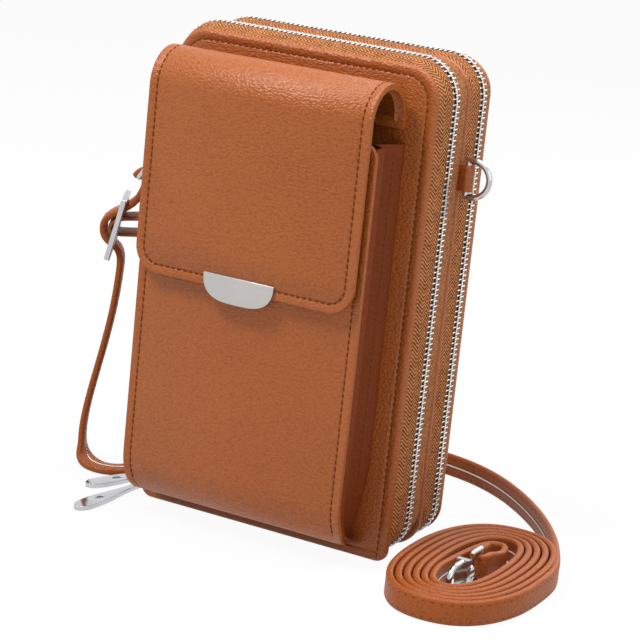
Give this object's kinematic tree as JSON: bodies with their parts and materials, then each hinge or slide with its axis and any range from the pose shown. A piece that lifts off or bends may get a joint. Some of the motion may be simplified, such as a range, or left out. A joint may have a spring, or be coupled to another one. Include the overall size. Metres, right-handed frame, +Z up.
{
  "type": "phone pouch",
  "caption": "Upright crossbody phone pouch with zip-round compartments, a flapped front pocket, side rings and a clip-on strap that lies coiled beside it.",
  "frame": {"origin": "middle of the pouch's base, on the surface it stands on", "axes": "+X to the pouch's right seen from the front, +Y from the front to the back, +Z up"},
  "size_m": [0.2223, 0.1702, 0.1931],
  "materials": {
    "case_leather": "fine pebbled grain, soft sheen",
    "gusset_leather": "fine pebbled grain, folded",
    "zip_tape": "woven herringbone tape",
    "zip_teeth": "bright moulded metal teeth",
    "lining_cloth": "plain woven lining",
    "magnet_steel": "plated disc under cloth",
    "polished_metal": "polished silver plating",
    "satin_plate": "satin brushed plating",
    "strap_leather": "smooth grained strap with two stitch rows"
  },
  "bodies": {
    "middle": {"divider_panel": "case_leather", "middle_front_base": "case_leather", "middle_rear_base": "case_leather", "front_zip_rear_tape": "zip_tape", "front_zip_rear_row": "zip_teeth", "rear_zip_front_tape": "zip_tape", "rear_zip_front_row": "zip_teeth", "right_ring_tab": "case_leather", "left_ring_tab": "case_leather", "strap_hanger": "strap_leather", "strap_tail": "strap_leather", "buckle": "polished_metal", "strap_run": "strap_leather", "strap_coil": "strap_leather", "strap_end": "strap_leather", "left_clasp_eye": "polished_metal", "right_clasp_eye": "polished_metal"},
    "front_case": {"front_panel": "case_leather", "front_lining": "lining_cloth", "front_base_strip": "case_leather", "pocket_front": "case_leather", "pocket_gusset_left": "gusset_leather", "pocket_gusset_right": "gusset_leather", "pocket_magnet": "magnet_steel", "flap_root": "case_leather", "flap_bridge": "case_leather", "front_zip_front_tape": "zip_tape", "front_zip_front_row": "zip_teeth"},
    "back_case": {"back_panel": "case_leather", "back_lining": "lining_cloth", "back_base_strip": "case_leather", "rear_zip_rear_tape": "zip_tape", "rear_zip_rear_row": "zip_teeth"},
    "flap": {"flap_leaf": "case_leather", "flap_plate": "satin_plate", "flap_magnet": "magnet_steel"},
    "front_slider_body": {"front_slider": "polished_metal"},
    "rear_slider_body": {"rear_slider": "polished_metal"},
    "front_pull_body": {"front_pull": "polished_metal"},
    "rear_pull_body": {"rear_pull": "polished_metal"},
    "right_ring_body": {"right_ring": "polished_metal"},
    "left_ring_body": {"left_ring": "polished_metal"},
    "left_hook": {"left_clasp_hook": "polished_metal"},
    "left_gate": {"left_clasp_gate": "polished_metal"},
    "right_hook": {"right_clasp_hook": "polished_metal"},
    "right_gate": {"right_clasp_gate": "polished_metal"}
  },
  "joints": [
    {"name": "front_open", "type": "hinge", "parent": "middle", "child": "front_case", "pos_m": [0, -0.0125, 0.0008], "axis": [1, 0, 0], "range_deg": [0, 45]},
    {"name": "back_open", "type": "hinge", "parent": "middle", "child": "back_case", "pos_m": [0, 0.0105, 0.0008], "axis": [-1, 0, 0], "range_deg": [0, 45]},
    {"name": "flap_lift", "type": "hinge", "parent": "front_case", "child": "flap", "pos_m": [0, -0.0375, 0.1705], "axis": [-1, 0, 0], "range_deg": [0, 165], "deforming": ["flap_bridge"]},
    {"name": "front_slider_run", "type": "hinge", "parent": "middle", "child": "front_slider_body", "pos_m": [-0.0435, -0.0125, 0.0161], "axis": [0, 1, 0], "range_deg": [0, 38]},
    {"name": "rear_slider_run", "type": "hinge", "parent": "middle", "child": "rear_slider_body", "pos_m": [-0.0435, 0.0105, 0.0161], "axis": [0, 1, 0], "range_deg": [0, 38]},
    {"name": "front_pull_lift", "type": "hinge", "parent": "front_slider_body", "child": "front_pull_body", "pos_m": [-0.05866, -0.0125, 0.00245], "axis": [-0.9962, 0.0872, 0], "range_deg": [0, 12]},
    {"name": "rear_pull_lift", "type": "hinge", "parent": "rear_slider_body", "child": "rear_pull_body", "pos_m": [-0.05866, 0.0105, 0.00245], "axis": [-0.9272, 0.3746, 0], "range_deg": [0, 30]},
    {"name": "right_ring_swing", "type": "hinge", "parent": "middle", "child": "right_ring_body", "pos_m": [0.0602, 0.001, 0.148], "axis": [0, 0, 1], "range_deg": [-75, 75]},
    {"name": "left_ring_swing", "type": "hinge", "parent": "middle", "child": "left_ring_body", "pos_m": [-0.0602, 0.001, 0.148], "axis": [0, 0, 1], "range_deg": [-6, 6]},
    {"name": "left_hook_swivel", "type": "hinge", "parent": "middle", "child": "left_hook", "pos_m": [-0.06482, 0.001, 0.14469], "axis": [-0.5906, 0, -0.807], "range_deg": [-20, 20]},
    {"name": "left_gate_open", "type": "hinge", "parent": "left_hook", "child": "left_gate", "pos_m": [-0.0707, -0.0038, 0.13666], "axis": [-0.807, 0, 0.5906], "range_deg": [0, 20], "stiffness_Nm_per_rad": 0.02},
    {"name": "right_hook_swivel", "type": "hinge", "parent": "middle", "child": "right_hook", "pos_m": [0.091, -0.04083, 0.0073], "axis": [0, 1, 0], "range_deg": [-90, 90]},
    {"name": "right_gate_open", "type": "hinge", "parent": "right_hook", "child": "right_gate", "pos_m": [0.091, -0.03088, 0.0025], "axis": [-1, 0, 0], "range_deg": [0, 20], "stiffness_Nm_per_rad": 0.02}
  ]
}
